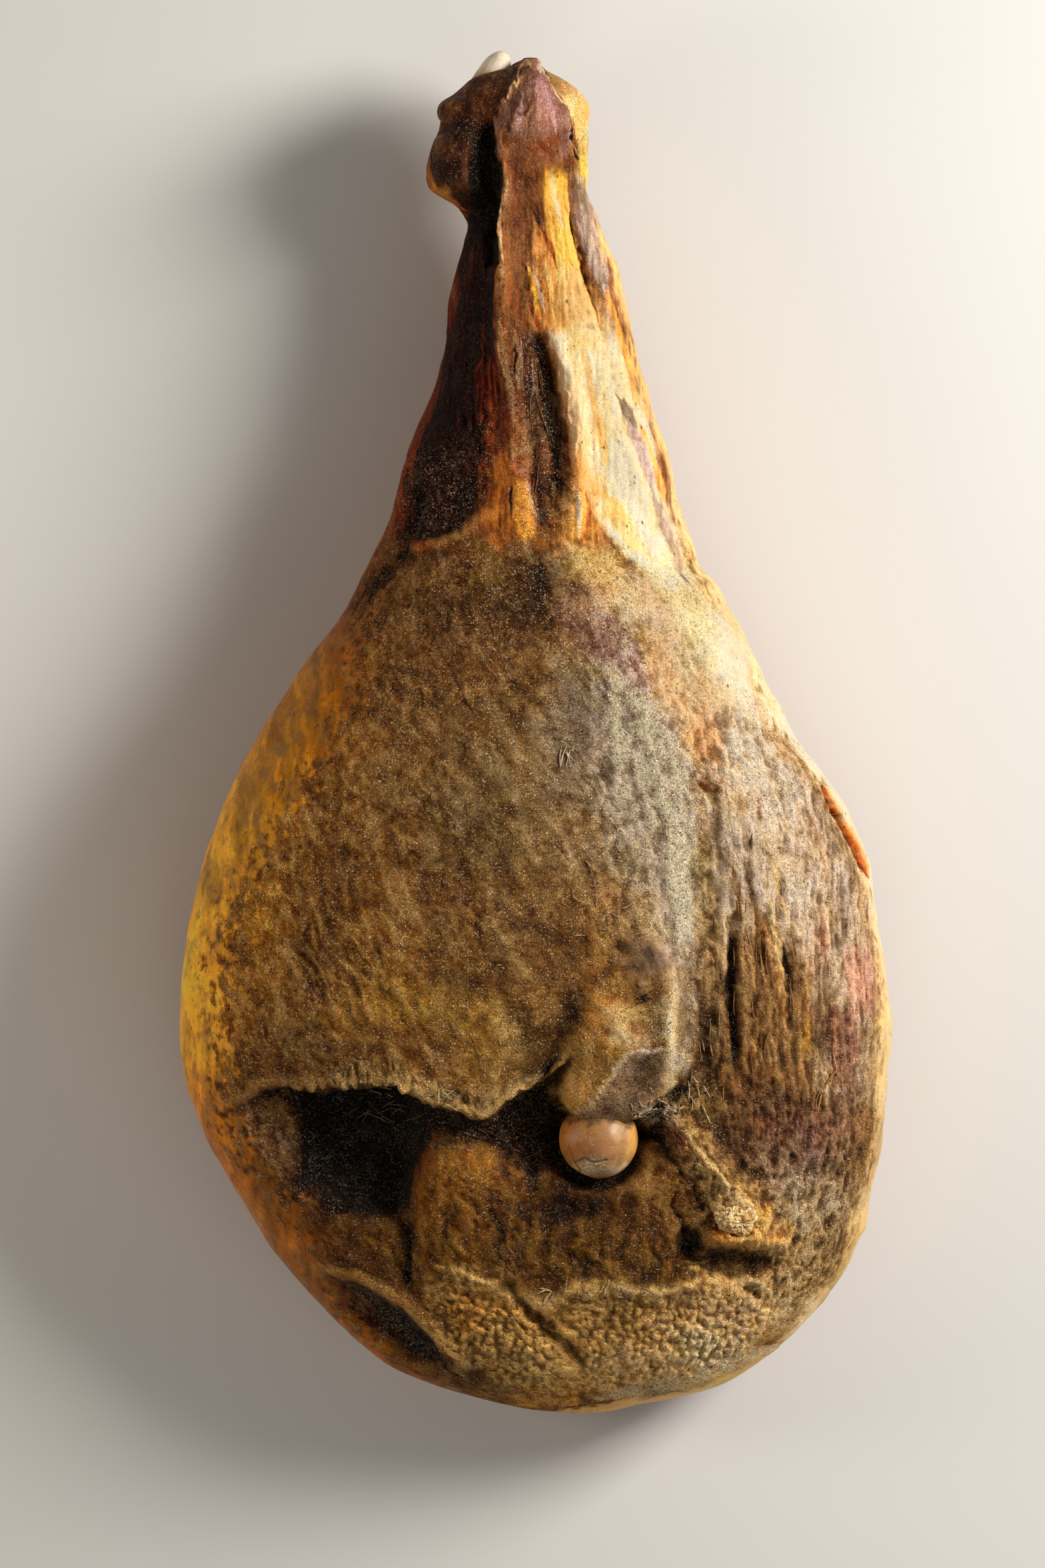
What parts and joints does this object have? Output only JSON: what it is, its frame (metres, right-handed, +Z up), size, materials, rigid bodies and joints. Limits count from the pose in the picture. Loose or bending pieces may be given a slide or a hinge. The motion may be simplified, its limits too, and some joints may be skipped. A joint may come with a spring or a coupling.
{
  "type": "whole dry-cured ham on the bone",
  "caption": "Whole dry-cured ham on the bone, foot off at the hock, lying on its rind with the mould-dusted cut face up and the hip ball bared.",
  "frame": {"origin": "on the surface the ham lies on, under the middle of its bounding box", "axes": "+Y runs from the butt to the hock, +X is to the right seen on the cut face with the hock away, +Z is up out of the cut face"},
  "size_m": [0.3138, 0.6002, 0.142],
  "materials": {
    "cured_meat_and_rind": "dry cured lean, amber fat and rind dusted with mould and pepper, satin to matt",
    "joint_bone": "smooth tan joint cartilage, satin",
    "sawn_bone": "cream spongy sawn bone, matt",
    "white_bone": "smooth off-white bone end, satin"
  },
  "bodies": {
    "root": {"ham": "cured_meat_and_rind", "femur_head": "joint_bone", "aitch_bone_stub": "sawn_bone", "hock_bone_tip": "white_bone"}
  },
  "joints": []
}
